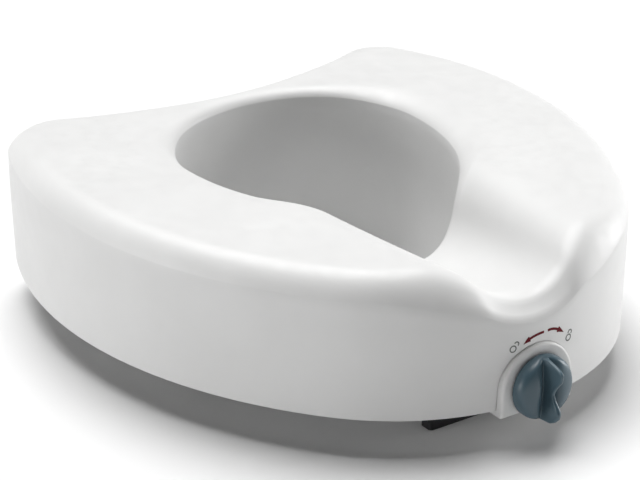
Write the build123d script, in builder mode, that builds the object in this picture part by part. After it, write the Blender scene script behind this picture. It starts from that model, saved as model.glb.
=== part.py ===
from build123d import *
import os
from math import cos, radians, sin

os.makedirs("parts", exist_ok=True)

# A raised toilet seat that locks to the rim of a toilet bowl.
# Millimetres. +Z is up, the front (knob side) faces -Y, and X = 0 is the plane of symmetry.
# The origin lies in the plane of the seat's underside, at the middle of the opening.

# ---- seat outline, built from four tangent arcs on each side ----
seat_height = 103.5
front_y = -251.0
front_radius, front_turn = 171.0, 49.0
side_radius, side_turn = 331.0, 63.7
corner_radius, rear_turn = 38.0, 27.8
corner_turn = 180 + rear_turn - front_turn - side_turn
rim_round = 16.0

# ---- egg-shaped opening, two half ellipses ----
opening_half_width = 100.5
opening_widest_y = 30.0
opening_rear_reach, opening_front_reach = 82.0, 142.0
opening_round = 8.0

# ---- dip in the front, a round channel that falls towards the opening ----
dip_radius = 50.0
dip_slope = 10.4
dip_inner_y, dip_inner_floor = -111.0, 51.0
dip_overrun = 100.0
dip_length = 400.0
shoulder_round = 44.0

# ---- shell and base pan ----
wall = 3.2
skirt_bottom_z = -22.0
pan_floor = 3.0
pan_edge = 5.0
pan_step = 1.2
lip_top = 9.0
lip_thickness = 2.0
lip_gap = 0.2
post_radius = 5.5
pilot_depth = 20.0
pan_screw_places = [(118, -150), (160, -25), (165, 125)]

# ---- clamp housing and screw ----
screw_axis_z = 14.0
screw_radius = 4.0
running_gap = 0.05
bush_radius = 6.0
bush_flange_radius = 8.5
bush_flange = 1.5
boss_radius = 30.0
boss_foot_z = -4.5
boss_face_y = front_y - 2.0
boss_depth = 15.0
boss_wall = 3.5
boss_round = 2.0
groove = 0.6
collar_radius = 9.0
collar_length = 12.0
channel_half_width = 17.0
channel_wall = 3.0
channel_top_z = 30.5
channel_end_y = -150.0
foot_width, foot_thickness, foot_length = 12.0, 6.0, 16.0
housing_screw_x = 26.0
housing_screw_ys = (-222.0, -165.0)
washer_thickness = 1.2
washer_radius = 8.5
thrust_gap = 0.1
clip_thickness, clip_radius, clip_groove_radius, clip_mouth = 1.2, 7.0, 3.2, 4.8
screw_chamfer = 1.0

# ---- knob ----
knob_radius = 23.0
knob_disc = 8.0
knob_edge_round = 3.0
knob_gap = 1.2
wing_thickness = 11.0
wing_round = 1.5
hub_depth = 5.0
pin_radius, pin_length = 1.0, 24.0

# ---- jaw and carriage, drawn at rest ----
travel_forward, travel_back = 18.0, 27.0
carriage_front_y, carriage_length = -218.0, 24.0
carriage_half_width, carriage_top_z = 16.7, 30.0
carriage_lift = 0.3
carriage_chamfer = 1.5
nut_width, nut_length = 13.0, 9.5
jaw_half_width = 14.0
jaw_plate = 4.0
jaw_plate_top_z = 29.0
jaw_drop = 30.0
jaw_foot_half_width, jaw_foot_depth, jaw_foot_height = 51.0, 12.0, 8.0
jaw_screw_x, jaw_screw_z, jaw_screw_length = 11.0, 26.0, 14.0
jaw_head_radius, jaw_head_height, jaw_head_round = 3.6, 2.4, 1.0
jaw_screw_hole_gap = 1.0
jaw_plate_round, jaw_foot_round = 2.0, 3.0
slot_gap = 1.0
pad_thickness = 2.5
rim_pad_top, rim_pad_bottom, rim_pad_round = -3.0, -21.0, 2.0

# ---- rear hooks ----
hook_x = 72.0
hook_half_width = 13.0
hook_leg_y = 126.0
hook_plate = 4.0
hook_flange_length = 24.0
hook_toe_length = 12.0
hook_toe_round = 1.2
hook_screw_x, hook_screw_y = 7.0, 112.0

# ---- fasteners and pads ----
pilot_radius = 1.6
screw_shank_radius = 2.0
countersink_radius = 4.2
head_sink = 0.2
pan_screw_length, housing_screw_length, hook_screw_length = 16.0, 8.5, 12.5
nut_across, nut_thickness = 8.0, 3.5
bowl_pad_length, bowl_pad_width, bowl_pad_thickness = 36.0, 16.0, 3.0
bowl_pad_recess = 1.0
bowl_pad_round = 0.6
bowl_pad_places = {"front": (132, -78, 68), "rear": (148, 78, 95)}
clear = 0.3


def seat_outline(inset):
    """Draw the seat's outline, moved in by inset, in the current line context."""
    front = JernArc((0, front_y + inset), (1, 0), front_radius - inset, front_turn)
    side = JernArc(front @ 1, front % 1, side_radius - inset, side_turn)
    corner = JernArc(side @ 1, side % 1, corner_radius - inset, corner_turn)
    scoop_radius = (corner @ 1).X / sin(radians(rear_turn))
    JernArc(corner @ 1, corner % 1, scoop_radius, -rear_turn)
    mirror(about=Plane.YZ)


def opening_outline(grow):
    """Draw the opening's outline, moved out by grow, in the current line context."""
    centre = (0, opening_widest_y)
    width = opening_half_width + grow
    EllipticalCenterArc(centre, width, opening_rear_reach + grow, start_angle=0, arc_size=180)
    EllipticalCenterArc(centre, width, opening_front_reach + grow, start_angle=180, arc_size=180)


def dip_plane():
    """The plane square to the dip's axis, set back inside the opening."""
    slope = radians(dip_slope)
    axis_point = (0, dip_inner_y, dip_inner_floor + dip_radius / cos(slope))
    along = (0, -cos(slope), sin(slope))
    return Plane(origin=axis_point, x_dir=(1, 0, 0), z_dir=along).offset(-dip_overrun)


def is_rim(edge, walls):
    """Tell whether an edge is the top edge of one of the outer walls."""
    middle = Vertex(*(edge @ 0.5))
    high = edge.bounding_box().min.Z > seat_height / 2
    return high and any(face.distance_to(middle) < 0.001 for face in walls)


def seat_form(inset, bottom):
    """The seat's solid form, with every surface moved inwards by inset."""
    height = seat_height - inset - bottom
    with BuildPart() as form:
        with BuildSketch(Plane.XY.offset(bottom)):
            with BuildLine():
                seat_outline(inset)
            make_face()
        extrude(amount=height)
        square_edges = form.edges()
        with BuildSketch(dip_plane()):
            Circle(dip_radius + inset)
        extrude(amount=dip_length, mode=Mode.SUBTRACT)
        shoulders = (form.edges() - square_edges).filter_by(GeomType.ELLIPSE)
        fillet(shoulders, shoulder_round)
        walls = form.faces().filter_by(lambda face: abs(face.normal_at().Z) < 0.001)
        walls = walls.filter_by(lambda face: face.bounding_box().size.Z > seat_height / 2)
        fillet([edge for edge in form.edges() if is_rim(edge, walls)], rim_round - inset)
        closed_edges = form.edges()
        with BuildSketch(Plane.XY.offset(bottom)):
            with BuildLine():
                opening_outline(inset)
            make_face()
        extrude(amount=height, mode=Mode.SUBTRACT)
        around_opening = form.edges() - closed_edges
        top_edges = [edge for edge in around_opening if edge.bounding_box().min.Z > seat_height / 3]
        fillet(top_edges, opening_round)
    return form.part


def both_sides(places):
    """Each place and its mirror image."""
    return [(side * x, y) for x, y in places for side in (-1, 1)]


def boss_outline(radius, foot_z):
    """Draw the arch around the knob's axis on the XZ plane, from one foot up and over to the other."""
    right_foot, left_foot = (radius, foot_z), (-radius, foot_z)
    Line(left_foot, right_foot)
    Line(right_foot, (radius, screw_axis_z))
    CenterArc((0, screw_axis_z), radius, 0, 180)
    Line((-radius, screw_axis_z), left_foot)


def front_plane(y):
    """A plane that faces the rear at y; its local axes are X and Z, and extruding goes to the rear."""
    return Plane(origin=(0, y, 0), x_dir=(-1, 0, 0), z_dir=(0, 1, 0))


def countersunk_screws(places, length, shank):
    """Countersunk screws that point up from the seat's underside, one solid for each place."""
    head_height = countersink_radius - shank
    with BuildPart() as screws:
        with BuildSketch(Plane.XY.offset(head_sink)):
            with Locations(*places):
                Circle(shank)
        extrude(amount=length)
        with Locations(*[(x, y, head_sink) for x, y in places]):
            Cone(
                countersink_radius - head_sink, shank, head_height - head_sink,
                align=(Align.CENTER, Align.CENTER, Align.MIN),
            )
    return screws.part


pan_screws_xy = both_sides(pan_screw_places)
housing_screws_xy = both_sides([(housing_screw_x, y) for y in housing_screw_ys])
hook_screws_xy = both_sides([(hook_x + dx, hook_screw_y) for dx in (-hook_screw_x, hook_screw_x)])
boss_back_y = boss_face_y + boss_depth
wall_cut_depth = boss_depth + groove

# ---- seat shell: the white ring, open below, whose opening wall runs on down into the bowl ----
outer_form = seat_form(0, pan_edge)
inner_form = seat_form(wall, pan_edge)
with BuildPart() as seat_shell:
    add(outer_form)
    add(inner_form, mode=Mode.SUBTRACT)
    with BuildSketch(Plane.XY.offset(skirt_bottom_z)):
        with BuildLine():
            opening_outline(wall)
        make_face()
        with BuildLine() as skirt_inside:
            opening_outline(0)
        make_face(skirt_inside.edges(), mode=Mode.SUBTRACT)
    extrude(amount=pan_edge + wall - skirt_bottom_z)
    with BuildSketch(Plane.XY.offset(pan_floor)):
        with Locations(*pan_screws_xy):
            Circle(post_radius)
    extrude(amount=seat_height - pan_floor - wall / 2)
    with BuildSketch(Plane.XY.offset(pan_floor)):
        with Locations(*pan_screws_xy):
            Circle(pilot_radius)
    extrude(amount=pilot_depth, mode=Mode.SUBTRACT)
    with BuildSketch(front_plane(boss_face_y)):
        with BuildLine():
            boss_outline(boss_radius + groove, boss_foot_z)
        make_face()
    extrude(amount=wall_cut_depth, mode=Mode.SUBTRACT)

# ---- base pan: closes the shell and lies on the bowl ----
leg_slot_front = carriage_front_y + carriage_length - travel_forward - slot_gap
leg_slot_back = carriage_front_y + carriage_length + jaw_plate + travel_back + slot_gap
leg_slot_length = leg_slot_back - leg_slot_front
with BuildPart() as base_pan:
    with BuildSketch():
        with BuildLine():
            seat_outline(pan_step)
        make_face()
    extrude(amount=pan_edge)
    with BuildSketch(Plane.XY.offset(pan_edge)):
        with BuildLine():
            seat_outline(wall + lip_gap)
        make_face()
    extrude(amount=lip_top - pan_edge)
    with BuildSketch():
        with BuildLine():
            opening_outline(wall + lip_gap)
        make_face()
    extrude(amount=lip_top, mode=Mode.SUBTRACT)
    lip_back = wall + lip_gap + lip_thickness
    with BuildSketch(Plane.XY.offset(pan_floor)):
        with BuildLine():
            seat_outline(lip_back)
        make_face()
        with BuildLine() as opening_back:
            opening_outline(lip_back)
        make_face(opening_back.edges(), mode=Mode.SUBTRACT)
    extrude(amount=lip_top - pan_floor, mode=Mode.SUBTRACT)
    with BuildSketch(front_plane(boss_face_y)):
        with BuildLine():
            boss_outline(boss_radius + groove, boss_foot_z)
        make_face()
    extrude(amount=wall_cut_depth, mode=Mode.SUBTRACT)
    with BuildSketch():
        with Locations((0, (leg_slot_front + leg_slot_back) / 2)):
            Rectangle(2 * (jaw_half_width + slot_gap), leg_slot_length)
        with Locations(*both_sides([(hook_x, hook_leg_y + hook_plate / 2)])):
            Rectangle(2 * hook_half_width + clear, hook_plate + clear)
    extrude(amount=pan_floor, mode=Mode.SUBTRACT)
    with Locations(*[(x, y, 0) for x, y in pan_screws_xy + housing_screws_xy + hook_screws_xy]):
        Cylinder(screw_shank_radius, 2 * pan_floor, mode=Mode.SUBTRACT)
        Cone(
            countersink_radius, screw_shank_radius, countersink_radius - screw_shank_radius,
            align=(Align.CENTER, Align.CENTER, Align.MIN), mode=Mode.SUBTRACT,
        )
    for x, y, turn in bowl_pad_places.values():
        for side in (-1, 1):
            with BuildSketch():
                with Locations(Location((side * x, y), side * turn)):
                    SlotOverall(bowl_pad_length, bowl_pad_width)
            extrude(amount=bowl_pad_recess, mode=Mode.SUBTRACT)

# ---- clamp housing: the arch behind the knob and the channel behind it, one moulding ----
channel_length = channel_end_y - boss_face_y - boss_wall
feet_xy = both_sides([(channel_half_width + channel_wall + foot_width / 2, y) for y in housing_screw_ys])
with BuildPart() as clamp_housing:
    with BuildSketch(front_plane(boss_face_y)):
        with BuildLine():
            boss_outline(boss_radius, boss_foot_z)
        make_face()
    extrude(amount=boss_depth)
    fillet(clamp_housing.faces().sort_by(Axis.Y)[0].edges(), boss_round)
    with BuildSketch(front_plane(boss_face_y + boss_wall)):
        with BuildLine():
            boss_outline(boss_radius - boss_wall, boss_foot_z + boss_wall)
        make_face()
    extrude(amount=boss_depth, mode=Mode.SUBTRACT)
    with BuildSketch(front_plane(boss_face_y + boss_wall)):
        outer_half = channel_half_width + channel_wall
        outer_top = channel_top_z + channel_wall
        with Locations((0, (pan_floor + outer_top) / 2)):
            Rectangle(2 * outer_half, outer_top - pan_floor)
        with Locations((0, (pan_floor + channel_top_z) / 2)):
            Rectangle(2 * channel_half_width, channel_top_z - pan_floor, mode=Mode.SUBTRACT)
    extrude(amount=channel_length)
    with BuildSketch(front_plane(channel_end_y - channel_wall)):
        with Locations((0, (pan_floor + channel_top_z) / 2)):
            Rectangle(2 * channel_half_width, channel_top_z - pan_floor)
    extrude(amount=channel_wall)
    with BuildSketch(front_plane(boss_face_y + boss_wall)):
        with Locations((0, screw_axis_z)):
            Circle(collar_radius)
    extrude(amount=collar_length - boss_wall)
    with BuildSketch(Plane.XY.offset(pan_floor)):
        with Locations(*feet_xy):
            Rectangle(foot_width, foot_length)
    extrude(amount=foot_thickness)
    with BuildSketch(Plane.XY.offset(pan_floor)):
        with Locations(*housing_screws_xy):
            Circle(screw_shank_radius)
    extrude(amount=foot_thickness, mode=Mode.SUBTRACT)
    with BuildSketch(front_plane(boss_face_y)):
        with Locations((0, screw_axis_z)):
            Circle(bush_radius)
    extrude(amount=channel_end_y - boss_face_y, mode=Mode.SUBTRACT)

# ---- bushes that carry the screw at both ends of the housing ----
collar_back_y = boss_face_y + collar_length


def flanged_bush(flange_y, tube_start_y, tube_end_y):
    """A plain bush along Y with its flange starting at flange_y."""
    with BuildPart() as bush:
        with BuildSketch(front_plane(tube_start_y)):
            with Locations((0, screw_axis_z)):
                Circle(bush_radius)
        extrude(amount=tube_end_y - tube_start_y)
        with BuildSketch(front_plane(flange_y)):
            with Locations((0, screw_axis_z)):
                Circle(bush_flange_radius)
        extrude(amount=bush_flange)
        with BuildSketch(front_plane(tube_start_y)):
            with Locations((0, screw_axis_z)):
                Circle(screw_radius + running_gap)
        extrude(amount=tube_end_y - tube_start_y + bush_flange, mode=Mode.SUBTRACT)
    return bush.part


screw_bush = flanged_bush(collar_back_y, boss_face_y, collar_back_y)
end_wall_y = channel_end_y - channel_wall
screw_end_bush = flanged_bush(end_wall_y - bush_flange, end_wall_y - bush_flange, channel_end_y)

# ---- thrust washers and retaining clip on the screw ----
knob_base_y = boss_face_y - knob_gap
rear_washer_y = collar_back_y + bush_flange + thrust_gap
clip_y = rear_washer_y + washer_thickness


def ring_on_screw(start_y, thickness, outer_radius, inner_radius):
    """A flat ring round the screw's axis, built towards the rear from start_y."""
    with BuildPart() as ring:
        with BuildSketch(front_plane(start_y)):
            with Locations((0, screw_axis_z)):
                Circle(outer_radius)
                Circle(inner_radius, mode=Mode.SUBTRACT)
        extrude(amount=thickness)
    return ring.part


front_washer_thickness = knob_gap - thrust_gap
front_thrust_washer = ring_on_screw(knob_base_y, front_washer_thickness, washer_radius, screw_radius)
rear_thrust_washer = ring_on_screw(rear_washer_y, washer_thickness, washer_radius, screw_radius)

with BuildPart() as screw_clip:
    add(ring_on_screw(clip_y, clip_thickness, clip_radius, clip_groove_radius))
    with BuildSketch(front_plane(clip_y)):
        with Locations((0, screw_axis_z - clip_radius)):
            Rectangle(clip_mouth, 2 * clip_radius)
    extrude(amount=clip_thickness, mode=Mode.SUBTRACT)

# ---- lead screw, with its clip groove and cross hole ----
screw_front_y = knob_base_y - hub_depth
pin_y = knob_base_y - hub_depth / 2
with BuildPart() as lead_screw:
    with BuildSketch(front_plane(screw_front_y)):
        with Locations((0, screw_axis_z)):
            Circle(screw_radius)
    extrude(amount=channel_end_y - screw_front_y)
    chamfer(lead_screw.faces().sort_by(Axis.Y)[-1].edges(), screw_chamfer)
    with BuildSketch(front_plane(clip_y)):
        with Locations((0, screw_axis_z)):
            Circle(bush_radius)
            Circle(clip_groove_radius, mode=Mode.SUBTRACT)
    extrude(amount=clip_thickness, mode=Mode.SUBTRACT)
    with Locations(Location((0, pin_y, screw_axis_z), (0, 90, 0))):
        Cylinder(pin_radius, pin_length, mode=Mode.SUBTRACT)

with BuildPart() as knob_pin:
    with Locations(Location((0, pin_y, screw_axis_z), (0, 90, 0))):
        Cylinder(pin_radius, pin_length)

# ---- knob: a round base with an upright wing ----
# each wing point is (reach out from the base, height above the axis)
wing_points = [
    (-3, 22), (3, 21.8), (15.4, 20.6), (24.5, 17.8), (15.8, -1), (22.5, -12.2),
    (17.2, -21.2), (3, -23.8), (-3, -24),
]
with BuildPart() as wing:
    with BuildSketch(Plane.YZ.offset(-wing_thickness / 2)):
        with BuildLine():
            wing_edge = [(knob_base_y - reach, screw_axis_z + height) for reach, height in wing_points]
            Spline(*wing_edge)
            Line(wing_edge[-1], wing_edge[0])
        make_face()
    extrude(amount=wing_thickness)
    fillet(wing.edges().filter_by(GeomType.BSPLINE), wing_round)

with BuildPart() as knob:
    with BuildSketch(front_plane(knob_base_y - knob_disc)):
        with Locations((0, screw_axis_z)):
            Circle(knob_radius)
    extrude(amount=knob_disc)
    fillet(knob.faces().sort_by(Axis.Y)[0].edges(), knob_edge_round)
    add(wing.part)
    split(bisect_by=front_plane(knob_base_y), keep=Keep.BOTTOM)
    with BuildSketch(front_plane(screw_front_y)):
        with Locations((0, screw_axis_z)):
            Circle(screw_radius)
    extrude(amount=hub_depth, mode=Mode.SUBTRACT)
    pin_hole_length = pin_length / 2 + knob_radius
    with Locations(Location((pin_length / 2, pin_y, screw_axis_z), (0, -90, 0))):
        Cylinder(
            pin_radius, pin_hole_length,
            align=(Align.CENTER, Align.CENTER, Align.MIN), mode=Mode.SUBTRACT,
        )

# ---- carriage, nut and jaw, which the screw draws along the housing ----
carriage_back_y = carriage_front_y + carriage_length
carriage_bottom_z = pan_floor + carriage_lift
carriage_middle_z = (carriage_bottom_z + carriage_top_z) / 2
jaw_screw_places = [(-jaw_screw_x, jaw_screw_z), (jaw_screw_x, jaw_screw_z)]
with BuildPart() as jaw_carriage:
    with BuildSketch(front_plane(carriage_front_y)):
        with Locations((0, carriage_middle_z)):
            Rectangle(2 * carriage_half_width, carriage_top_z - carriage_bottom_z)
        with Locations((0, screw_axis_z)):
            Circle(screw_radius + clear, mode=Mode.SUBTRACT)
    extrude(amount=carriage_length)
    chamfer(jaw_carriage.faces().sort_by(Axis.Y)[0].outer_wire().edges(), carriage_chamfer)
    with BuildSketch(front_plane(carriage_back_y - nut_length)):
        with Locations((0, screw_axis_z)):
            Rectangle(nut_width, nut_width)
    extrude(amount=nut_length, mode=Mode.SUBTRACT)
    with BuildSketch(front_plane(carriage_back_y - jaw_screw_length + jaw_plate)):
        with Locations(*jaw_screw_places):
            Circle(screw_shank_radius)
    extrude(amount=jaw_screw_length, mode=Mode.SUBTRACT)

with BuildPart() as clamp_nut:
    with BuildSketch(front_plane(carriage_back_y - nut_length)):
        with Locations((0, screw_axis_z)):
            Rectangle(nut_width, nut_width)
            Circle(screw_radius + running_gap, mode=Mode.SUBTRACT)
    extrude(amount=nut_length)

jaw_front_y = carriage_back_y + jaw_plate - jaw_foot_depth
with BuildPart() as clamp_jaw:
    with BuildSketch(front_plane(carriage_back_y)):
        with Locations((0, (jaw_plate_top_z - jaw_drop) / 2)):
            RectangleRounded(2 * jaw_half_width, jaw_plate_top_z + jaw_drop, jaw_plate_round)
    extrude(amount=jaw_plate)
    with BuildSketch(Plane.XY.offset(-jaw_drop)):
        with Locations((0, jaw_front_y + jaw_foot_depth / 2)):
            RectangleRounded(2 * jaw_foot_half_width, jaw_foot_depth, jaw_foot_round)
    extrude(amount=jaw_foot_height)
    with BuildSketch(front_plane(carriage_back_y)):
        with Locations((0, screw_axis_z)):
            Circle(screw_radius + jaw_screw_hole_gap)
        with Locations(*jaw_screw_places):
            Circle(screw_shank_radius)
    extrude(amount=jaw_plate, mode=Mode.SUBTRACT)

rim_pad_middle_z = (rim_pad_top + rim_pad_bottom) / 2
with BuildPart() as jaw_pad:
    with BuildSketch(front_plane(carriage_back_y - pad_thickness)):
        with Locations((0, rim_pad_middle_z)):
            RectangleRounded(2 * jaw_half_width, rim_pad_top - rim_pad_bottom, rim_pad_round)
    extrude(amount=pad_thickness)

with BuildPart() as jaw_screws:
    with BuildSketch(front_plane(carriage_back_y - jaw_screw_length + jaw_plate)):
        with Locations(*jaw_screw_places):
            Circle(screw_shank_radius)
    extrude(amount=jaw_screw_length)
    with BuildSketch(front_plane(carriage_back_y + jaw_plate)):
        with Locations(*jaw_screw_places):
            Circle(jaw_head_radius)
    extrude(amount=jaw_head_height)
    fillet(jaw_screws.faces().group_by(Axis.Y)[-1].edges(), jaw_head_round)

# ---- rear hooks: a flange above the pan, a leg through it and a toe that grips the rim ----
hook_flange_z = pan_floor + hook_plate


def rear_hook(side):
    """One L-shaped hook, at +X for side = 1 and at -X for side = -1."""
    left_x = side * hook_x - hook_half_width
    leg_back = hook_leg_y + hook_plate
    flange_front = leg_back - hook_flange_length
    toe_back = leg_back + hook_toe_length
    with BuildPart() as hook:
        with BuildSketch(Plane.YZ.offset(left_x)):
            with BuildLine():
                Polyline(
                    (flange_front, pan_floor), (hook_leg_y, pan_floor), (hook_leg_y, -jaw_drop),
                    (toe_back, -jaw_drop), (toe_back, hook_plate - jaw_drop),
                    (leg_back, hook_plate - jaw_drop), (leg_back, hook_flange_z),
                    (flange_front, hook_flange_z), close=True,
                )
            make_face()
        extrude(amount=2 * hook_half_width)
        fillet(hook.edges().filter_by(Axis.X).sort_by(Axis.Z)[:4], hook_toe_round)
        with BuildSketch(Plane.XY.offset(pan_floor)):
            with Locations(*[(side * hook_x + dx, hook_screw_y) for dx in (-hook_screw_x, hook_screw_x)]):
                Circle(screw_shank_radius)
        extrude(amount=hook_plate, mode=Mode.SUBTRACT)
    return hook.part


def hook_pad(side):
    """The rubber facing on the rear side of a hook's leg."""
    with BuildPart() as pad:
        with BuildSketch(front_plane(hook_leg_y + hook_plate)):
            with Locations((-side * hook_x, rim_pad_middle_z)):
                RectangleRounded(2 * hook_half_width, rim_pad_top - rim_pad_bottom, rim_pad_round)
        extrude(amount=pad_thickness)
    return pad.part


with BuildPart() as hook_nuts:
    with BuildSketch(Plane.XY.offset(hook_flange_z)):
        with Locations(*hook_screws_xy):
            RegularPolygon(nut_across / 2, 6, major_radius=False)
            Circle(screw_shank_radius, mode=Mode.SUBTRACT)
    extrude(amount=nut_thickness)


def bowl_pad(side, x, y, turn):
    """One anti-slip pad, let into the pan and standing proud of it."""
    with BuildPart() as pad:
        with BuildSketch(Plane.XY.offset(bowl_pad_recess - bowl_pad_thickness)):
            with Locations(Location((side * x, y), side * turn)):
                SlotOverall(bowl_pad_length, bowl_pad_width)
        extrude(amount=bowl_pad_thickness)
        fillet(pad.faces().sort_by(Axis.Z)[0].edges(), bowl_pad_round)
    return pad.part


# ---- write each piece ----
seat_shell.part.label = "seat_shell"
export_step(seat_shell.part, "parts/seat_shell.step")
base_pan.part.label = "base_pan"
export_step(base_pan.part, "parts/base_pan.step")
clamp_housing.part.label = "clamp_housing"
export_step(clamp_housing.part, "parts/clamp_housing.step")
lead_screw.part.label = "lead_screw"
export_step(lead_screw.part, "parts/lead_screw.step")
screw_clip.part.label = "screw_clip"
export_step(screw_clip.part, "parts/screw_clip.step")
knob.part.label = "knob"
export_step(knob.part, "parts/knob.step")
knob_pin.part.label = "knob_pin"
export_step(knob_pin.part, "parts/knob_pin.step")
jaw_carriage.part.label = "jaw_carriage"
export_step(jaw_carriage.part, "parts/jaw_carriage.step")
clamp_nut.part.label = "clamp_nut"
export_step(clamp_nut.part, "parts/clamp_nut.step")
clamp_jaw.part.label = "clamp_jaw"
export_step(clamp_jaw.part, "parts/clamp_jaw.step")
jaw_pad.part.label = "jaw_pad"
export_step(jaw_pad.part, "parts/jaw_pad.step")
jaw_screws.part.label = "jaw_screws"
export_step(jaw_screws.part, "parts/jaw_screws.step")
hook_nuts.part.label = "hook_nuts"
export_step(hook_nuts.part, "parts/hook_nuts.step")

repeated_pieces = {
    "screw_bush": screw_bush,
    "screw_end_bush": screw_end_bush,
    "front_thrust_washer": front_thrust_washer,
    "rear_thrust_washer": rear_thrust_washer,
    "pan_screws": countersunk_screws(pan_screws_xy, pan_screw_length, pilot_radius),
    "housing_screws": countersunk_screws(housing_screws_xy, housing_screw_length, screw_shank_radius),
    "hook_screws": countersunk_screws(hook_screws_xy, hook_screw_length, screw_shank_radius),
}
for side_name, side in (("left", -1), ("right", 1)):
    repeated_pieces[f"rear_hook_{side_name}"] = rear_hook(side)
    repeated_pieces[f"hook_pad_{side_name}"] = hook_pad(side)
    for end_name, (x, y, turn) in bowl_pad_places.items():
        repeated_pieces[f"bowl_pad_{end_name}_{side_name}"] = bowl_pad(side, x, y, turn)
for piece_name, piece in repeated_pieces.items():
    piece.label = piece_name
    export_step(piece, f"parts/{piece_name}.step")
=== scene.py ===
from math import cos, pi, radians, sin, sqrt, tan

import bmesh
import bpy
import numpy as np
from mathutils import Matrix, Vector


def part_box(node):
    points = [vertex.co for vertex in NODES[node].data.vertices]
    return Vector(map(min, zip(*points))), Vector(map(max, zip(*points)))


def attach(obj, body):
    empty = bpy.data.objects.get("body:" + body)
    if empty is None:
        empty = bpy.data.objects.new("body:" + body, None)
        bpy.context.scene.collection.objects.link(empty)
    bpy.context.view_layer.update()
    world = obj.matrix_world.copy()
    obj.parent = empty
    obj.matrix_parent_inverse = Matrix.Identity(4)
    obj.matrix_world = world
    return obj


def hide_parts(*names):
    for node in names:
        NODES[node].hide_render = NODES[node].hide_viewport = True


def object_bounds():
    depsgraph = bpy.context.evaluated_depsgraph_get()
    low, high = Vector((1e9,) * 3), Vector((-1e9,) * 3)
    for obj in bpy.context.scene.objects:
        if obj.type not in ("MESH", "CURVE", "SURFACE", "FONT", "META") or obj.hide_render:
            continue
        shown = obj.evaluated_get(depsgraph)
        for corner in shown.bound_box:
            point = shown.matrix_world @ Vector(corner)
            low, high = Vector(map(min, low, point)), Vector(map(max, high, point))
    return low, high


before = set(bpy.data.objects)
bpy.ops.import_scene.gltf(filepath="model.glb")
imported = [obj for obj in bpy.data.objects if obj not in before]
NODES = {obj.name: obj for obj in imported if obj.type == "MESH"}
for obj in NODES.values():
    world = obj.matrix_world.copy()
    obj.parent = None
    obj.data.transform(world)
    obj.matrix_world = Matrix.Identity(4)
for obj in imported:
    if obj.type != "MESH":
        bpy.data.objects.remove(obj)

CAD_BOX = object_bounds()

# Lengths are in millimetres until a mesh is made. Front is -Y, up is +Z.
MM = 0.001


def box_mm(node):
    """Lowest and highest corner of a CAD node, in millimetres."""
    low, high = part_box(node)
    return np.array(low) / MM, np.array(high) / MM


SHELL_LOW, SHELL_HIGH = box_mm("seat_shell")
KNOB_BASE_Y = box_mm("knob")[1][1]
SCREW_LOW, SCREW_HIGH = box_mm("lead_screw")
CLIP_LOW, CLIP_HIGH = box_mm("screw_clip")

# ---- seat outline: tangent arcs from the front to the rear, as (radius, turn in degrees) ----
FRONT_Y = SHELL_LOW[1]
FRONT_ARC, SIDE_ARC, CORNER_RADIUS, REAR_TURN = (171.0, 49.0), (331.0, 63.7), 38.0, 27.8
CORNER_ARC = (CORNER_RADIUS, 180 + REAR_TURN - FRONT_ARC[1] - SIDE_ARC[1])
TOP_Z = SHELL_HIGH[2]
SKIRT_Z = SHELL_LOW[2]
SEAM_Z = 5.0
WALL = 3.2
DRAFT = tan(radians(1.3))
DRAFT_START_Z = 58.0

# ---- how finely the shell is sampled; the arcs' weights put more sections into the tight corner ----
ARC_DETAIL = np.array([1.0, 0.8, 2.6, 1.0])
AROUND_STEPS, CURVE_STEPS = 200, 60
ROLL_STEPS, FLAT_STEPS, WALL_STEPS = 11, 16, 12
OUTLINE_STEPS, EGG_STEPS = 900, 1440
SECTION_HANDLE = 0.3
SHARP_ANGLE = 40
BATCH_POINTS = 2000

# ---- opening: two half ellipses ----
OPENING_HALF_WIDTH, OPENING_WIDEST_Y = 100.5, 30.0
OPENING_REAR_REACH, OPENING_FRONT_REACH = 82.0, 142.0

# ---- how far the top rolls over at its edges: drop and reach, and where one value turns into the next ----
RIM_DROP = 16.4
RIM_REACH_SIDE, RIM_REACH_CORNER, RIM_REACH_REAR = 20.0, 28.0, 15.0
LIP_DROP_SIDE, LIP_DROP_REAR, LIP_DROP_DIP = 9.0, 6.0, 4.0
LIP_REACH_SIDE, LIP_REACH_REAR, LIP_REACH_DIP = 26.0, 11.0, 5.0
FLARE_X, FLARE_SPREAD, FLARE_DROP, FLARE_REACH = 58.0, 20.0, 10.0, 8.0
ROLL_FULLNESS = 0.93
REAR_START_Y, REAR_BLEND = 60.0, 100.0
CORNER_X, CORNER_SPREAD = 172.0, 24.0
SCOOP_START_X, SCOOP_BLEND = 60.0, 80.0
LIP_DIP_Y, LIP_DIP_BLEND = -40.0, 60.0
LIP_REAR_Y, LIP_REAR_BLEND = 50.0, 55.0
CREASE_DEPTH, CREASE_GAP, CREASE_WIDTH, CREASE_SPREAD = 2.3, 6.0, 2.6, 37.2

# ---- dip in the front: a round channel whose shoulders curve back into the flat top ----
DIP_RADIUS, SHOULDER_RADIUS = 50.0, 44.0
DIP_RIM_Y, DIP_RIM_FLOOR = -241.0, 75.0
DIP_LIP_Y, DIP_LIP_FLOOR = -111.0, 51.0
DIP_FADE_Y, DIP_FADE_LENGTH = -60.0, 60.0

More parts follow.
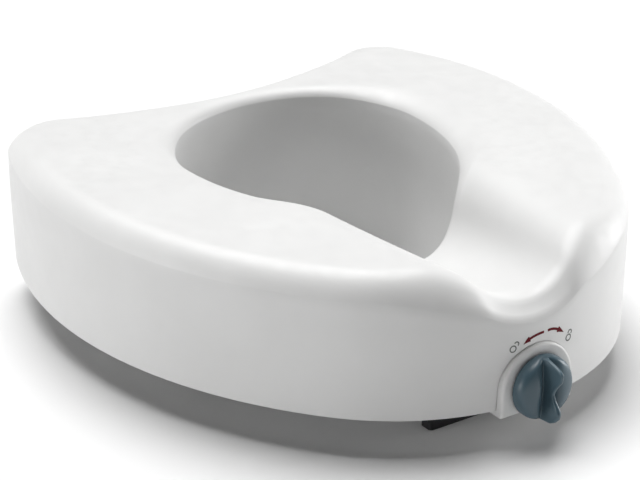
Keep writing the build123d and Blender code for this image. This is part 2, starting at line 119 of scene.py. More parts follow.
# ---- clamp boss and knob ----
AXIS_Z = (SCREW_LOW[2] + SCREW_HIGH[2]) / 2
BOSS_RADIUS, BOSS_GROOVE, BOSS_BACK_Y, BOSS_CUT_START = 30.0, 0.25, -237.4, 12.0
BOSS_ARC_STEPS = 48
KNOB_RADIUS, KNOB_SIDE, KNOB_DOME, KNOB_EDGE_ROUND = 23.0, 6.5, 7.5, 2.5
KNOB_VALLEY_REACH, KNOB_VALLEY_SPREAD = 5.6, 6.2
KNOB_RING_STEP, KNOB_SPOKES, KNOB_EDGE_STEPS = 0.4, 360, 9
KNOB_VOXEL, KNOB_SMOOTH_SHARE, KNOB_SMOOTH_ROUNDS = 0.45, 0.5, 6
# the fin's outer edge from its top to its tail, as (reach from the knob's base, height above the axis)
KNOB_FIN = [
    (10.0, 22.0), (15.4, 20.9), (22.0, 19.1), (24.6, 16.8), (24.0, 11.3), (18.5, 4.3), (15.8, -1.0),
    (18.0, -5.7), (21.5, -9.7), (23.2, -13.2), (22.0, -17.5), (18.5, -21.0), (13.5, -23.6),
]
KNOB_FIN_EDGE, KNOB_FIN_ROOT, KNOB_FIN_END, KNOB_FIN_LAST = 1.3, 4.5, 2.5, 0.02
KNOB_TAIL_Z, KNOB_TAIL_BLEND, KNOB_TAIL_EDGE, KNOB_TAIL_ROOT = -4.0, 12.0, 2.3, 5.0
FIN_LEVELS, FIN_SECTIONS, FIN_SIDE_STEPS, FIN_TIP_STEPS, FIN_SMOOTHING = 128, 110, 14, 7, 9

# ---- lead screw ----
THREAD_PITCH, THREAD_DEPTH, THREAD_STEP, THREAD_END_Y = 3.0, 0.6, 0.2, -156.0
THREAD_START_GAP, THREAD_CREST, THREAD_FLANK = 1.0, 0.25, 0.4
CLIP_GROOVE_RADIUS, SCREW_CHAMFER, SCREW_SIDES = 3.2, 1.0, 36

# ---- print, as (x, z) places on the front wall ----
ARROW_SHAFT_WIDTH, ARROW_HEAD_WIDTH, ARROW_TIP_WIDTH = 1.9, 4.6, 0.05
ARROW_HEAD_START, ARROW_STEPS = 0.62, 40
ARROW_LEFT = [(5.3, 50.7), (-4.5, 49.4), (-11.6, 45.6)]
ARROW_RIGHT = [(8.7, 50.7), (16.0, 49.6), (24.0, 44.4)]
LOCK_RADIUS, LOCK_HOOP_RADIUS, LOCK_STROKE, LOCK_STEPS = 2.3, 1.7, 0.9, 33
# each lock is (name, middle of its body, tilt in degrees from +X, turn of its shackle in degrees)
OPEN_LOCK = ("left", (-19.8, 44.3), 51.0, 200.0)
CLOSED_LOCK = ("right", (29.2, 38.6), 72.0, 250.0)
INK_SHEEN, INK_LIFT = 0.15, 0.1

# ---- colours and finishes ----
WHITE_LOW, WHITE_HIGH = (0.715, 0.715, 0.71), (0.745, 0.745, 0.74)
BLACK_LOW, BLACK_HIGH = (0.010, 0.010, 0.011), (0.022, 0.022, 0.024)
KNOB_COLOUR_LOW, KNOB_COLOUR_HIGH = (0.052, 0.092, 0.117), (0.070, 0.118, 0.147)
RUBBER_LOW, RUBBER_HIGH = (0.018, 0.018, 0.019), (0.045, 0.044, 0.043)
NYLON_LOW, NYLON_HIGH = (0.70, 0.67, 0.58), (0.80, 0.78, 0.70)
NYLON_SCATTER = (0.002, 0.002, 0.0015)
STEEL_LOW, STEEL_HIGH = (0.50, 0.51, 0.53), (0.63, 0.64, 0.66)
BRASS_LOW, BRASS_HIGH = (0.62, 0.44, 0.18), (0.76, 0.57, 0.27)
RED_LOW, RED_HIGH = (0.09, 0.004, 0.009), (0.15, 0.007, 0.012)
GREY_LOW, GREY_HIGH = (0.13, 0.14, 0.13), (0.22, 0.23, 0.22)
NOISE_LOW, NOISE_HIGH = 0.3, 0.7
CLOUD_MM, PEBBLE_MM = 60.0, 0.9

# ---- studio; the lights' places and sizes are in metres ----
FLOOR_HALF, FLOOR_SHEEN = 30000.0, 0.1
FLOOR_LOW, FLOOR_HIGH = (0.80, 0.80, 0.80), (0.82, 0.82, 0.82)
CAMERA_AZIMUTH, CAMERA_ELEVATION, CAMERA_DISTANCE = radians(-34.23), radians(24.40), 1630.0
CAMERA_TARGET = np.array([-46.5, FRONT_Y + 189.9, 60.0])
CAMERA_SENSOR, CAMERA_LENS = 36.0, 127.9
SUN_PLACE, SUN_STRENGTH, SUN_SPREAD = (0.08, 0.45, 1.4), 3.9, radians(50)
LEFT_PLACE, LEFT_WATTS = (-1.9, 0.45, 0.05), 18.0
RIGHT_PLACE, RIGHT_WATTS = (1.9, -0.6, 0.4), 26.0
PANEL_SIDE = 1.0
LIGHTS_AIM = Vector((0, 0, 0.05))
SKY_STRENGTH = 0.01


# ---------------------------------------------------------------- mesh helpers
def make_object(name, points_mm, faces):
    """A smooth-shaded mesh object from points in millimetres, with its faces turned outwards."""
    mesh = bpy.data.meshes.new(name)
    mesh.from_pydata([tuple(p) for p in np.asarray(points_mm) * MM], [], faces)
    mesh.validate()
    face_mesh = bmesh.new()
    face_mesh.from_mesh(mesh)
    bmesh.ops.recalc_face_normals(face_mesh, faces=face_mesh.faces)
    face_mesh.to_mesh(mesh)
    face_mesh.free()
    mesh.shade_smooth()
    obj = bpy.data.objects.new(name, mesh)
    bpy.context.scene.collection.objects.link(obj)
    return obj


def apply_modifiers(obj):
    """Replace the object's mesh with its evaluated mesh."""
    graph = bpy.context.evaluated_depsgraph_get()
    mesh = bpy.data.meshes.new_from_object(obj.evaluated_get(graph))
    obj.modifiers.clear()
    old = obj.data
    obj.data = mesh
    bpy.data.meshes.remove(old)
    mesh.name = obj.name


def sharp_by_angle(obj, degrees):
    """Smooth shading that keeps edges steeper than the angle sharp."""
    obj.data.shade_smooth()
    obj.data.set_sharp_from_angle(angle=radians(degrees))


def grid_faces(rows, columns, wrap_rows=False, wrap_columns=False):
    """Quads over a grid of points stored row by row."""
    faces = []
    for r in range(rows if wrap_rows else rows - 1):
        for c in range(columns if wrap_columns else columns - 1):
            here, beside = r * columns, (r + 1) % rows * columns
            after = (c + 1) % columns
            faces.append((here + c, here + after, beside + after, beside + c))
    return faces


def tube_faces(rows, columns):
    """Faces of a closed tube of rings, with a cap at each end."""
    faces = grid_faces(rows, columns, wrap_columns=True)
    faces.append(tuple(range(columns)))
    faces.append(tuple((rows - 1) * columns + c for c in range(columns)))
    return faces


def smoothstep(t):
    """A smooth step from 0 to 1 as t goes from 0 to 1."""
    t = np.clip(t, 0, 1)
    return t * t * (3 - 2 * t)


def bump_at(distance, spread):
    """A smooth bump of height 1 at distance 0."""
    return np.exp(-((distance / spread) ** 2) / 2)


# ---------------------------------------------------------------- outlines
def outline_half(samples):
    """Points and inward normals along the right half of the seat's outline, from front to rear."""
    x, y, heading = 0.0, FRONT_Y, 0.0
    arcs = []
    for radius, turn in (FRONT_ARC, SIDE_ARC, CORNER_ARC):
        arcs.append((radius, turn, x, y, heading))
        centre = (x - radius * sin(heading), y + radius * cos(heading))
        heading += radians(turn)
        x, y = centre[0] + radius * sin(heading), centre[1] - radius * cos(heading)
    arcs.append((-x / sin(radians(REAR_TURN)), -REAR_TURN, x, y, heading))
    lengths = np.array([abs(radius * radians(turn)) for radius, turn, *_ in arcs])
    weights = lengths * ARC_DETAIL
    counts = np.maximum(4, np.round(samples * weights / weights.sum())).astype(int)
    points, normals = [], []
    for (radius, turn, x0, y0, h0), count in zip(arcs, counts):
        for h in h0 + radians(turn) * np.arange(count) / count:
            points.append((x0 + radius * (sin(h) - sin(h0)), y0 - radius * (cos(h) - cos(h0))))
            normals.append((-sin(h), cos(h)))
    last_heading = h0 + radians(turn)
    points.append((0.0, y0 - radius * (cos(last_heading) - cos(h0))))
    normals.append((0.0, -1.0))
    return np.array(points), np.array(normals)


def mirror_loop(half):
    """A closed loop from its right half; the first and last points lie on the plane of symmetry."""
    left = half[-2:0:-1] * np.array([-1.0, 1.0])
    return np.vstack([half, left])


def opening_reach(angle):
    """The reach along Y of the half ellipse that this angle falls in."""
    return np.where(np.sin(angle) >= 0, OPENING_REAR_REACH, OPENING_FRONT_REACH)


def opening_point(angle):
    """A point of the opening's outline; the angle is measured from +X about the ellipses' centre."""
    y = OPENING_WIDEST_Y + opening_reach(angle) * np.sin(angle)
    return np.stack([OPENING_HALF_WIDTH * np.cos(angle), y], -1)


def opening_normal(angle):
    """The opening outline's normal, pointing away from the opening's middle."""
    n = np.stack([opening_reach(angle) * np.cos(angle), OPENING_HALF_WIDTH * np.sin(angle)], -1)
    return n / np.linalg.norm(n, axis=-1, keepdims=True)


def distance_to(points, loop):
    """Distance from each point to the nearest segment of a closed loop."""
    along = np.roll(loop, -1, axis=0) - loop
    length2 = (along**2).sum(1)
    batches = []
    for batch in np.array_split(points, max(1, len(points) // BATCH_POINTS)):
        p = batch[:, None, :]
        t = np.clip(((p - loop) * along).sum(2) / length2, 0, 1)
        batches.append(np.linalg.norm(p - loop - t[..., None] * along, axis=2).min(1))
    return np.concatenate(batches)


# ---------------------------------------------------------------- seat shell
def roll_drop(gap, reach, drop):
    """How far an elliptical roll-over of this reach and drop lies below the top at this gap from the edge."""
    t = ROLL_FULLNESS * np.clip(1 - gap / reach, 0, 1)
    return drop * (1 - np.sqrt(1 - t**2)) / (1 - sqrt(1 - ROLL_FULLNESS**2))


def dip_depth(x, y):
    """Depth of the front dip below the flat top: a round channel with tangent round shoulders."""
    slope = (DIP_RIM_FLOOR - DIP_LIP_FLOOR) / (DIP_LIP_Y - DIP_RIM_Y)
    floor = DIP_LIP_FLOOR - slope * (y - DIP_LIP_Y)
    both = DIP_RADIUS + SHOULDER_RADIUS
    rise = floor + DIP_RADIUS - (TOP_Z - SHOULDER_RADIUS)
    shoulder_x = np.sqrt(both**2 - rise**2)
    meet_x = shoulder_x * DIP_RADIUS / both
    across = np.abs(x)
    channel = floor + DIP_RADIUS - np.sqrt(np.maximum(0, DIP_RADIUS**2 - across**2))
    beyond = np.clip(shoulder_x - across, 0, SHOULDER_RADIUS)
    shoulder = TOP_Z - SHOULDER_RADIUS + np.sqrt(SHOULDER_RADIUS**2 - beyond**2)
    surface = np.where(across < meet_x, channel, shoulder)
    fade = 1 - smoothstep((y - DIP_FADE_Y) / DIP_FADE_LENGTH)
    return (TOP_Z - surface) * fade


def section_gaps(reach_out, reach_in, width):
    """Distances from the outer edge at which a section is sampled: close together on both roll-overs."""
    roll = 1 - np.cos(np.linspace(0, pi / 2, ROLL_STEPS))
    outer = reach_out * roll
    inner = width - reach_in * roll[::-1]
    flat = np.linspace(outer[-1], inner[0], FLAT_STEPS)[1:-1]
    return np.concatenate([outer, flat, inner])


def section_across(start, start_normal, end, end_normal, reach_out, reach_in):
    """Points of one section, along a curve that leaves both outlines at right angles."""
    handle = SECTION_HANDLE * np.linalg.norm(end - start)
    a, b, c, d = start, start + start_normal * handle, end + end_normal * handle, end
    t = np.linspace(0, 1, CURVE_STEPS)[:, None]
    curve = (1 - t) ** 3 * a + 3 * (1 - t) ** 2 * t * b + 3 * (1 - t) * t**2 * c + t**3 * d
    lengths = np.concatenate([[0], np.cumsum(np.linalg.norm(np.diff(curve, axis=0), axis=1))])
    gaps = section_gaps(reach_out, reach_in, lengths[-1])
    return np.stack([np.interp(gaps, lengths, curve[:, k]) for k in (0, 1)], -1)


def draft_inset(z):
    """How far the outer wall leans in at this height."""
    return np.maximum(0, DRAFT_START_Z - z) * DRAFT


def blend_three(side, first, first_share, second, second_share):
    """A side value that turns into a first or a second value where their shares are 1."""
    return side + (first - side) * first_share + (second - side) * second_share


def outer_roll(outer):
    """Reach and drop of the roll-over at each place of the outer edge."""
    across = np.abs(outer[:, 0])
    rear = smoothstep((outer[:, 1] - REAR_START_Y) / REAR_BLEND)
    corner = bump_at(across - CORNER_X, CORNER_SPREAD) * rear
    scoop = rear * (1 - smoothstep((across - SCOOP_START_X) / SCOOP_BLEND))
    flare = bump_at(across - FLARE_X, FLARE_SPREAD) * (outer[:, 1] < 0)
    reach = blend_three(RIM_REACH_SIDE, RIM_REACH_CORNER, corner, RIM_REACH_REAR, scoop)
    return reach + FLARE_REACH * flare, RIM_DROP + FLARE_DROP * flare


def inner_roll(inner):
    """Reach and drop of the roll-over at each place of the opening's edge."""
    front = smoothstep((LIP_DIP_Y - inner[:, 1]) / LIP_DIP_BLEND)
    back = smoothstep((inner[:, 1] - LIP_REAR_Y) / LIP_REAR_BLEND)
    reach = blend_three(LIP_REACH_SIDE, LIP_REACH_DIP, front, LIP_REACH_REAR, back)
    return reach, blend_three(LIP_DROP_SIDE, LIP_DROP_DIP, front, LIP_DROP_REAR, back)


def top_surface(outer, normals, inner, inner_normals):
    """The seat's top as sections from the outer edge to the opening, stored as (around, across, xyz)."""
    reach_out, drop_out = outer_roll(outer)
    reach_in, drop_in = inner_roll(inner)
    xy = np.array([
        section_across(*ends) for ends in zip(outer, normals, inner, inner_normals, reach_out, reach_in)
    ])
    outline = mirror_loop(outline_half(OUTLINE_STEPS)[0])
    egg = opening_point(np.linspace(0, 2 * pi, EGG_STEPS, endpoint=False))
    gap_out = distance_to(xy.reshape(-1, 2), outline).reshape(xy.shape[:2])
    gap_in = distance_to(xy.reshape(-1, 2), egg).reshape(xy.shape[:2])
    gap_out[:, 0] = 0
    gap_in[:, -1] = 0
    z = TOP_Z - dip_depth(xy[..., 0], xy[..., 1])
    z -= roll_drop(gap_out, reach_out[:, None], drop_out[:, None])
    z -= roll_drop(gap_in, reach_in[:, None], drop_in[:, None])
    crease = bump_at(outer[:, 0], CREASE_SPREAD) * (outer[:, 1] < 0)
    z -= CREASE_DEPTH * crease[:, None] * bump_at(gap_out - CREASE_GAP, CREASE_WIDTH)
    return np.concatenate([xy, z[..., None]], -1)


def shell_sections():
    """Outer skin of the seat: sections from the outer wall's foot over the top to the skirt's foot."""
    half, half_normals = outline_half(AROUND_STEPS)
    outer, normals = mirror_loop(half), mirror_loop(half_normals)
    polar = np.arctan2(outer[:, 1] - OPENING_WIDEST_Y, outer[:, 0])
    # the ellipse angle whose point lies in the same direction
    angle = np.arctan2(np.sin(polar) * OPENING_HALF_WIDTH, np.cos(polar) * opening_reach(polar))
    inner = opening_point(angle)
    top = top_surface(outer, normals, inner, opening_normal(angle))
    share = np.linspace(0, 1, WALL_STEPS + 1)[:-1]
    outer_z = SEAM_Z + (top[:, :1, 2] - SEAM_Z) * share
    outer_xy = outer[:, None] + normals[:, None] * draft_inset(outer_z)[..., None]
    outer_wall = np.concatenate([outer_xy, outer_z[..., None]], -1)
    inner_z = SKIRT_Z + (top[:, -1:, 2] - SKIRT_Z) * share[::-1]
    inner_wall = np.concatenate([np.repeat(inner[:, None], WALL_STEPS, axis=1), inner_z[..., None]], -1)
    return np.concatenate([outer_wall, top, inner_wall], axis=1)


def skin_normals(skin):
    """Normals of a skin stored as (around, across, xyz), pointing out of the seat."""
    around = np.roll(skin, -1, axis=0) - np.roll(skin, 1, axis=0)
    n = np.cross(around, np.gradient(skin, axis=1))
    return n / np.linalg.norm(n, axis=-1, keepdims=True)


def boss_cutter():
    """The arch round the knob's axis, a little wider than the boss, drawn out along Y."""
    radius = BOSS_RADIUS + BOSS_GROOVE
    turns = np.linspace(pi, 0, BOSS_ARC_STEPS)
    crown = np.stack([radius * np.cos(turns), AXIS_Z + radius * np.sin(turns)], -1)
    loop = np.vstack([[(-radius, SKIRT_Z)], crown, [(radius, SKIRT_Z)]])
    points = [(x, y, z) for y in (FRONT_Y - BOSS_CUT_START, BOSS_BACK_Y) for x, z in loop]
    return make_object("boss_cutter", points, tube_faces(2, len(loop)))


def build_seat_shell():
    """The white moulding: both skins of the ring, with the arch for the clamp cut out of its front."""
    skin = shell_sections()
    inside = skin - skin_normals(skin) * WALL
    inside[:, 0, 2] = SEAM_Z
    inside[:, -1, 2] = SKIRT_Z
    ring = np.concatenate([skin, inside[:, ::-1]], axis=1)
    faces = grid_faces(*ring.shape[:2], wrap_rows=True, wrap_columns=True)
    shell = make_object("seat_shell_moulding", ring.reshape(-1, 3), faces)
    cutter = boss_cutter()
    cut = shell.modifiers.new("boss_opening", "BOOLEAN")
    cut.operation, cut.solver, cut.object = "DIFFERENCE", "EXACT", cutter
    apply_modifiers(shell)
    bpy.data.objects.remove(cutter)
    sharp_by_angle(shell, SHARP_ANGLE)
    return shell


# ---------------------------------------------------------------- knob
def knob_lobe(x, z):
    """The knob's round face: two full lobes that fall into a valley along the fin, and a rounded edge."""
    radius = np.minimum(np.hypot(x, z), KNOB_RADIUS)
    dome = KNOB_SIDE + KNOB_DOME * np.sqrt(1 - (radius / KNOB_RADIUS) ** 2)
    full = 1 - np.exp(-((x / KNOB_VALLEY_SPREAD) ** 2))
    face = KNOB_VALLEY_REACH + (dome - KNOB_VALLEY_REACH) * full
    over = np.clip((radius - (KNOB_RADIUS - KNOB_EDGE_ROUND)) / KNOB_EDGE_ROUND, 0, 1)
    return face - KNOB_EDGE_ROUND * (1 - np.sqrt(1 - over**2))


def fin_reach(heights):
    """How far the fin's outer edge reaches at each height, through smoothed profile points."""
    points = np.array(KNOB_FIN)
    levels = np.linspace(points[-1, 1], points[0, 1], FIN_LEVELS)
    reach = np.interp(-levels, -points[:, 1], points[:, 0])
    window = np.hanning(FIN_SMOOTHING)
    padded = np.pad(reach, FIN_SMOOTHING // 2, mode="edge")
    smoothed = np.convolve(padded, window / window.sum(), mode="valid")
    return np.interp(heights, levels, smoothed)


def knob_disc():
    """The knob's lobes on rings from the middle of its face to its edge and back to its base."""
    inner = KNOB_RADIUS - KNOB_EDGE_ROUND
    rounded = inner + KNOB_EDGE_ROUND * np.sin(np.linspace(0, pi / 2, KNOB_EDGE_STEPS))
    radii = np.concatenate([np.arange(KNOB_RING_STEP, inner, KNOB_RING_STEP), rounded])
    turns = np.linspace(0, 2 * pi, KNOB_SPOKES, endpoint=False)
    radius, turn = np.meshgrid(radii, turns, indexing="ij")
    x, z = radius * np.cos(turn), radius * np.sin(turn)
    reach = np.vstack([knob_lobe(x, z), np.zeros((1, KNOB_SPOKES))])
    x, z = np.vstack([x, x[-1:]]), np.vstack([z, z[-1:]])
    points = np.stack([x, KNOB_BASE_Y - reach, AXIS_Z + z], -1).reshape(-1, 3)
    return make_object("knob_grip", points, tube_faces(len(radii) + 1, KNOB_SPOKES))


def fin_section(reach, tail, end_round):
    """One level section of the fin as (x, reach) points; tail runs from 0 to 1 towards its foot."""
    edge = (KNOB_FIN_EDGE + (KNOB_TAIL_EDGE - KNOB_FIN_EDGE) * tail) * end_round
    root = (KNOB_FIN_ROOT + (KNOB_TAIL_ROOT - KNOB_FIN_ROOT) * tail) * end_round
    share = np.linspace(0, 1, FIN_SIDE_STEPS)
    tip = np.linspace(0, pi / 2, FIN_TIP_STEPS)[1:]
    side_x = np.concatenate([edge + (root - edge) * (1 - share) ** (2 - tail), edge * np.cos(tip)])
    side_reach = np.concatenate([share * (reach - edge), reach - edge + edge * np.sin(tip)])
    loop_x = np.concatenate([side_x, -side_x[-2::-1]])
    loop_reach = np.concatenate([side_reach, side_reach[-2::-1]])
    return np.stack([loop_x, loop_reach], -1)


def knob_fin():
    """The upright fin: level sections with a rounded outer edge and flanks that flare to the root."""
    heights = np.linspace(KNOB_FIN[0][1], KNOB_FIN[-1][1], FIN_SECTIONS)
    tails = smoothstep((KNOB_TAIL_Z - heights) / KNOB_TAIL_BLEND)
    from_end = np.clip((heights - heights[-1]) / KNOB_FIN_END, KNOB_FIN_LAST, 1)
    end_rounds = np.sqrt(1 - (1 - from_end) ** 2)
    points = []
    for height, *shape in zip(heights, fin_reach(heights), tails, end_rounds):
        section = fin_section(*shape)
        points += [(x, KNOB_BASE_Y - reach, AXIS_Z + height) for x, reach in section]
    return make_object("knob_fin", points, tube_faces(len(heights), len(section)))


def build_knob():
    """The knob: lobes and fin melted into one moulding with soft inner corners."""
    knob, fin = knob_disc(), knob_fin()
    both = bmesh.new()
    both.from_mesh(knob.data)
    both.from_mesh(fin.data)
    both.to_mesh(knob.data)
    both.free()
    bpy.data.objects.remove(fin)
    remesh = knob.modifiers.new("even", "REMESH")
    remesh.mode, remesh.voxel_size = "VOXEL", KNOB_VOXEL * MM
    smooth = knob.modifiers.new("soft", "SMOOTH")
    smooth.factor, smooth.iterations = KNOB_SMOOTH_SHARE, KNOB_SMOOTH_ROUNDS
    apply_modifiers(knob)
    knob.data.shade_smooth()
    return knob


# ---------------------------------------------------------------- lead screw
def thread_depth(turn):
    """Depth of the thread below its crest over one turn, with flat crests and roots."""
    ramp = np.abs((turn % 1) - 0.5) * 2
    return THREAD_DEPTH * smoothstep((ramp - THREAD_CREST) / THREAD_FLANK)


def build_lead_screw():
    """The screw: plain journals, the clip's groove, and a real helical thread between them."""
    radius = (SCREW_HIGH[2] - SCREW_LOW[2]) / 2
    turns = np.linspace(0, 2 * pi, SCREW_SIDES, endpoint=False)
    start, end, rear_y = CLIP_HIGH[1] + THREAD_START_GAP, THREAD_END_Y, SCREW_HIGH[1]
    front = [
        (SCREW_LOW[1], radius), (CLIP_LOW[1], radius), (CLIP_LOW[1], CLIP_GROOVE_RADIUS),
        (CLIP_HIGH[1], CLIP_GROOVE_RADIUS), (CLIP_HIGH[1], radius),
    ]
    rear = [(end, radius), (rear_y - SCREW_CHAMFER, radius), (rear_y, radius - SCREW_CHAMFER)]
    thread = []
    for y in np.arange(start, end, THREAD_STEP):
        run_out = smoothstep((y - start) / THREAD_PITCH) * smoothstep((end - y) / THREAD_PITCH)
        thread.append((y, radius - thread_depth(y / THREAD_PITCH - turns / (2 * pi)) * run_out))
    points = []
    for y, ring in front + thread + rear:
        radii = np.broadcast_to(ring, SCREW_SIDES)
        points += [(r * cos(turn), y, AXIS_Z + r * sin(turn)) for r, turn in zip(radii, turns)]
    screw = make_object("lead_screw_thread", points, tube_faces(len(points) // SCREW_SIDES, SCREW_SIDES))
    sharp_by_angle(screw, SHARP_ANGLE)
    return screw


# ---------------------------------------------------------------- print on the front wall
def front_wall_y(x, z):
    """The drafted front wall's Y at this place."""
    radius = FRONT_ARC[0] - draft_inset(z)
    return FRONT_Y + FRONT_ARC[0] - np.sqrt(radius**2 - x**2)


def stroke(middle, widths, closed=False):
    """The two edges of a stroke of varying width along a line of (x, z) points."""
    middle = np.asarray(middle, float)
    along = np.gradient(middle, axis=0)
    if closed:
        along = np.roll(middle, -1, axis=0) - np.roll(middle, 1, axis=0)
    side = np.stack([-along[:, 1], along[:, 0]], -1) / np.linalg.norm(along, axis=1, keepdims=True)
    half = np.broadcast_to(widths, len(middle))[:, None] / 2
    return middle + side * half, middle - side * half


def print_film(name, middle, widths, closed=False):
    """A thin film of ink along a line on the front wall."""
    left, right = stroke(middle, widths, closed)
    rows = []
    for a, b in zip(left, right):
        for (x, z), lift in ((a, INK_LIFT), (b, INK_LIFT), (b, -INK_LIFT), (a, -INK_LIFT)):
            rows.append((x, front_wall_y(x, z) - lift, z))
    ring = len(left), 4
    faces = grid_faces(*ring, wrap_rows=True, wrap_columns=True) if closed else tube_faces(*ring)
    film = make_object(name, rows, faces)
    sharp_by_angle(film, SHARP_ANGLE)
    return film


def arc_points(centre, radius, start, end, count=24):
    """Points along an arc on the XZ plane; angles in degrees from +X, anticlockwise."""
    turns = np.radians(np.linspace(start, end, count))
    return np.stack([centre[0] + radius * np.cos(turns), centre[1] + radius * np.sin(turns)], -1)


def arrow(name, places):
    """A curved arrow through three places: a shaft, then a head that narrows to a point."""
    share = np.linspace(0, 1, ARROW_STEPS)
    start, middle, tip = np.array(places)
    bend = 2 * middle - (start + tip) / 2
    t = share[:, None]
    line = (1 - t) ** 2 * start + 2 * (1 - t) * t * bend + t**2 * tip
    head = share > ARROW_HEAD_START
    widths = np.where(head, ARROW_HEAD_WIDTH * (1 - share) / (1 - ARROW_HEAD_START), ARROW_SHAFT_WIDTH)
    return print_film(name, line, np.maximum(widths, ARROW_TIP_WIDTH))


def padlock(side_name, centre, tilt, sweep):
    """A padlock outline: a ring for its body and a hoop, open by more or less, for its shackle."""
    body = arc_points(centre, LOCK_RADIUS, 0, 360, LOCK_STEPS)[:-1]
    up = np.array([cos(radians(tilt)), sin(radians(tilt))])
    hoop_middle = np.asarray(centre) + up * (LOCK_RADIUS + LOCK_HOOP_RADIUS)
    hoop = arc_points(hoop_middle, LOCK_HOOP_RADIUS, tilt - sweep / 2, tilt + sweep / 2)
    return [
        print_film(f"{side_name}_lock_body", body, LOCK_STROKE, closed=True),
        print_film(f"{side_name}_lock_shackle", hoop, LOCK_STROKE),
    ]


# ---------------------------------------------------------------- materials
def new_surface(name, metallic=0.0):
    """A new material: its node tree, its shader and the object coordinates that its patterns use."""
    material = bpy.data.materials.new(name)
    material.use_nodes = True
    tree = material.node_tree
    shader = tree.nodes["Principled BSDF"]
    shader.inputs["Metallic"].default_value = metallic
    place = tree.nodes.new("ShaderNodeTexCoord").outputs["Object"]
    return material, tree, shader, place


def noise(tree, place, size_mm, detail=3.0, squeeze=(1.0, 1.0, 1.0)):
    """Noise with features about size_mm across, finer along an axis where squeeze is above 1."""
    mapping = tree.nodes.new("ShaderNodeMapping")
    mapping.inputs["Scale"].default_value = [share / (size_mm * MM) for share in squeeze]
    tree.links.new(place, mapping.inputs["Vector"])
    node = tree.nodes.new("ShaderNodeTexNoise")
    node.inputs["Scale"].default_value = 1.0
    node.inputs["Detail"].default_value = detail
    tree.links.new(mapping.outputs["Vector"], node.inputs["Vector"])
    return node.outputs["Fac"]


def colour_between(tree, shader, value, first, second):
    """Base colour that runs from the first to the second colour as the noise rises."""
    ramp = tree.nodes.new("ShaderNodeValToRGB")
    low, high = ramp.color_ramp.elements
    low.position, high.position = NOISE_LOW, NOISE_HIGH
    low.color, high.color = (*first, 1.0), (*second, 1.0)
    tree.links.new(value, ramp.inputs["Fac"])
    tree.links.new(ramp.outputs["Color"], shader.inputs["Base Color"])


def roughness_between(tree, shader, value, low, high):
    """Roughness that follows the noise between two values."""
    spread = tree.nodes.new("ShaderNodeMapRange")
    spread.inputs["From Min"].default_value = NOISE_LOW
    spread.inputs["From Max"].default_value = NOISE_HIGH
    spread.inputs["To Min"].default_value = low
    spread.inputs["To Max"].default_value = high
    tree.links.new(value, spread.inputs["Value"])
    tree.links.new(spread.outputs["Result"], shader.inputs["Roughness"])


def relief(tree, shader, value, depth_mm, strength, under=None):
    """Bump of this depth, on top of another one where given; returns its normal for the next."""
    bump = tree.nodes.new("ShaderNodeBump")
    bump.inputs["Strength"].default_value = strength
    bump.inputs["Distance"].default_value = depth_mm * MM
    tree.links.new(value, bump.inputs["Height"])
    if under is not None:
        tree.links.new(under, bump.inputs["Normal"])
    tree.links.new(bump.outputs["Normal"], shader.inputs["Normal"])
    return bump.outputs["Normal"]


def moulded_plastic(name, first, second, grain_mm, rough):
    """Injection-moulded plastic: faint clouding, a slow flow ripple and a fine moulded grain."""
    material, tree, shader, place = new_surface(name)
    colour_between(tree, shader, noise(tree, place, CLOUD_MM, detail=4.0), first, second)
    roughness_between(tree, shader, noise(tree, place, 9.0, detail=5.0), *rough)
    waves, grain = noise(tree, place, 22.0, detail=1.0), noise(tree, place, grain_mm, detail=2.0)
    ripple = relief(tree, shader, waves, depth_mm=0.3, strength=0.12)
    relief(tree, shader, grain, depth_mm=0.05, strength=0.3, under=ripple)
    return material


def rubber(name):
    """Soft dark rubber: a pebbled skin with paler rubbed patches."""
    material, tree, shader, place = new_surface(name)
    colour_between(tree, shader, noise(tree, place, 6.0, detail=6.0), RUBBER_LOW, RUBBER_HIGH)
    roughness_between(tree, shader, noise(tree, place, 3.0, detail=4.0), 0.62, 0.85)
    cells = tree.nodes.new("ShaderNodeTexVoronoi")
    cells.inputs["Scale"].default_value = 1 / (PEBBLE_MM * MM)
    tree.links.new(place, cells.inputs["Vector"])
    relief(tree, shader, cells.outputs["Distance"], depth_mm=0.12, strength=0.5)
    return material


def nylon(name):
    """Natural nylon: creamy, slightly waxy, with turning marks."""
    material, tree, shader, place = new_surface(name)
    shader.inputs["Subsurface Weight"].default_value = 0.1
    shader.inputs["Subsurface Radius"].default_value = NYLON_SCATTER
    colour_between(tree, shader, noise(tree, place, 5.0, detail=4.0), NYLON_LOW, NYLON_HIGH)
    roughness_between(tree, shader, noise(tree, place, 2.0), 0.32, 0.5)
    marks = noise(tree, place, 0.5, detail=2.0, squeeze=(1.0, 6.0, 1.0))
    relief(tree, shader, marks, depth_mm=0.03, strength=0.4)
    return material


def turned_metal(name, first, second, rough):
    """Machined or plated metal: fine tool marks round the screw's axis, and stains where it has dulled."""
    material, tree, shader, place = new_surface(name, metallic=1.0)
    colour_between(tree, shader, noise(tree, place, 4.0, detail=6.0), first, second)
    roughness_between(tree, shader, noise(tree, place, 1.2, detail=5.0), *rough)
    marks = noise(tree, place, 1.2, detail=2.0, squeeze=(1.0, 12.0, 1.0))
    relief(tree, shader, marks, depth_mm=0.02, strength=0.5)
    return material


def ink(name, first, second):
    """Pad-printed ink: slightly uneven in tone and gloss."""
    material, tree, shader, place = new_surface(name)
    colour_between(tree, shader, noise(tree, place, 0.8, detail=5.0), first, second)
    roughness_between(tree, shader, noise(tree, place, 0.5), 0.55, 0.75)
    shader.inputs["Specular IOR Level"].default_value = INK_SHEEN
    relief(tree, shader, noise(tree, place, 0.3, detail=2.0), depth_mm=0.01, strength=0.3)
    return material


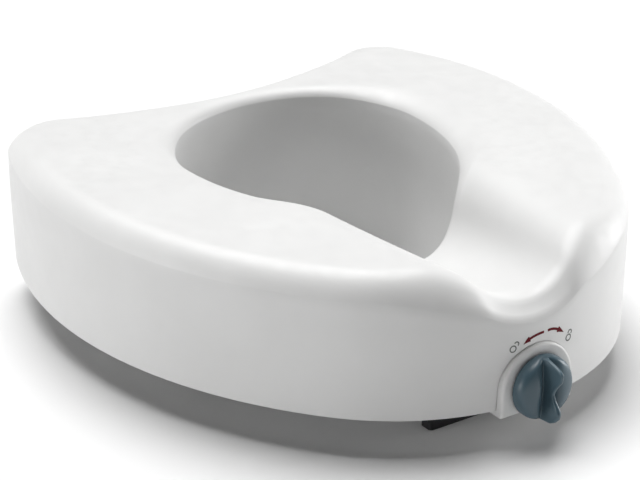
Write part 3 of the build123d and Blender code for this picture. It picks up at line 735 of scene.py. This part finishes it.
SLOT_MATERIALS = {
    "white_moulding": moulded_plastic("white_moulding_look", WHITE_LOW, WHITE_HIGH, 0.7, (0.38, 0.5)),
    "knob_plastic": moulded_plastic("knob_plastic_look", KNOB_COLOUR_LOW, KNOB_COLOUR_HIGH, 0.5, (0.3, 0.42)),
    "black_plastic": moulded_plastic("black_plastic_look", BLACK_LOW, BLACK_HIGH, 0.6, (0.35, 0.5)),
    "rubber": rubber("rubber_look"),
    "nylon": nylon("nylon_look"),
    "steel": turned_metal("steel_look", STEEL_LOW, STEEL_HIGH, (0.22, 0.42)),
    "brass": turned_metal("brass_look", BRASS_LOW, BRASS_HIGH, (0.2, 0.38)),
    "red_print": ink("red_print_look", RED_LOW, RED_HIGH),
    "grey_print": ink("grey_print_look", GREY_LOW, GREY_HIGH),
}


def dress(obj, body, slot_name, *replaced):
    """Fix a piece to its body, give it its finish, and hide the CAD nodes that it stands for."""
    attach(obj, body)
    if replaced:
        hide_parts(*replaced)
    obj.data.materials.clear()
    obj.data.materials.append(SLOT_MATERIALS[slot_name])


for node in NODES.values():
    for material_slot in node.material_slots:
        material_slot.material = SLOT_MATERIALS[material_slot.material.name.split(".")[0]]

dress(build_seat_shell(), "seat", "white_moulding", "seat_shell")
dress(build_knob(), "knob_and_screw", "knob_plastic", "knob")
dress(build_lead_screw(), "knob_and_screw", "steel", "lead_screw")
dress(arrow("arrow_left", ARROW_LEFT), "seat", "red_print")
dress(arrow("arrow_right", ARROW_RIGHT), "seat", "red_print")
for lock in (OPEN_LOCK, CLOSED_LOCK):
    for film in padlock(*lock):
        dress(film, "seat", "grey_print")


# ---------------------------------------------------------------- camera, light, floor
def add_to_scene(name, data, place):
    """A new camera or light at a place in metres."""
    obj = bpy.data.objects.new(name, data)
    bpy.context.scene.collection.objects.link(obj)
    obj.location = place
    return obj


def place_camera():
    """The viewpoint, from its azimuth, elevation and distance to a point of the seat."""
    level = cos(CAMERA_ELEVATION)
    back = np.array([sin(CAMERA_AZIMUTH) * level, -cos(CAMERA_AZIMUTH) * level, sin(CAMERA_ELEVATION)])
    data = bpy.data.cameras.new("camera")
    data.sensor_width, data.lens = CAMERA_SENSOR, CAMERA_LENS
    camera = add_to_scene("camera", data, Vector((CAMERA_TARGET + back * CAMERA_DISTANCE) * MM))
    camera.rotation_euler = Vector(-back).to_track_quat("-Z", "Y").to_euler()
    bpy.context.scene.camera = camera


def add_light(name, kind, place, strength):
    """A light aimed at the seat; returns its settings."""
    data = bpy.data.lights.new(name, kind)
    data.energy = strength
    light = add_to_scene(name, data, place)
    light.rotation_euler = (LIGHTS_AIM - Vector(place)).to_track_quat("-Z", "Y").to_euler()
    return data


def light_studio():
    """A broad sun from above, a square panel on each side, and a trace of light from all round."""
    add_light("overhead", "SUN", SUN_PLACE, SUN_STRENGTH).angle = SUN_SPREAD
    for name, place, watts in (("left", LEFT_PLACE, LEFT_WATTS), ("right", RIGHT_PLACE, RIGHT_WATTS)):
        panel = add_light(name, "AREA", place, watts)
        panel.shape, panel.size = "SQUARE", PANEL_SIDE
    world = bpy.data.worlds.new("studio")
    world.use_nodes = True
    sky = world.node_tree.nodes["Background"]
    sky.inputs["Color"].default_value = (1, 1, 1, 1)
    sky.inputs["Strength"].default_value = SKY_STRENGTH
    bpy.context.scene.world = world
    bpy.context.scene.view_settings.view_transform = "Standard"


def pale_floor():
    """A plain pale floor under the feet, with a trace of mottling."""
    z = CAD_BOX[0][2] / MM
    corners = [(x * FLOOR_HALF, y * FLOOR_HALF, z) for x, y in ((-1, -1), (1, -1), (1, 1), (-1, 1))]
    floor = make_object("floor", corners, [(0, 1, 2, 3)])
    material, tree, shader, place = new_surface("floor_look")
    shader.inputs["Specular IOR Level"].default_value = FLOOR_SHEEN
    colour_between(tree, shader, noise(tree, place, 300.0), FLOOR_LOW, FLOOR_HIGH)
    roughness_between(tree, shader, noise(tree, place, 40.0), 0.8, 0.9)
    floor.data.materials.append(material)
    return floor


place_camera()
light_studio()
pale_floor()
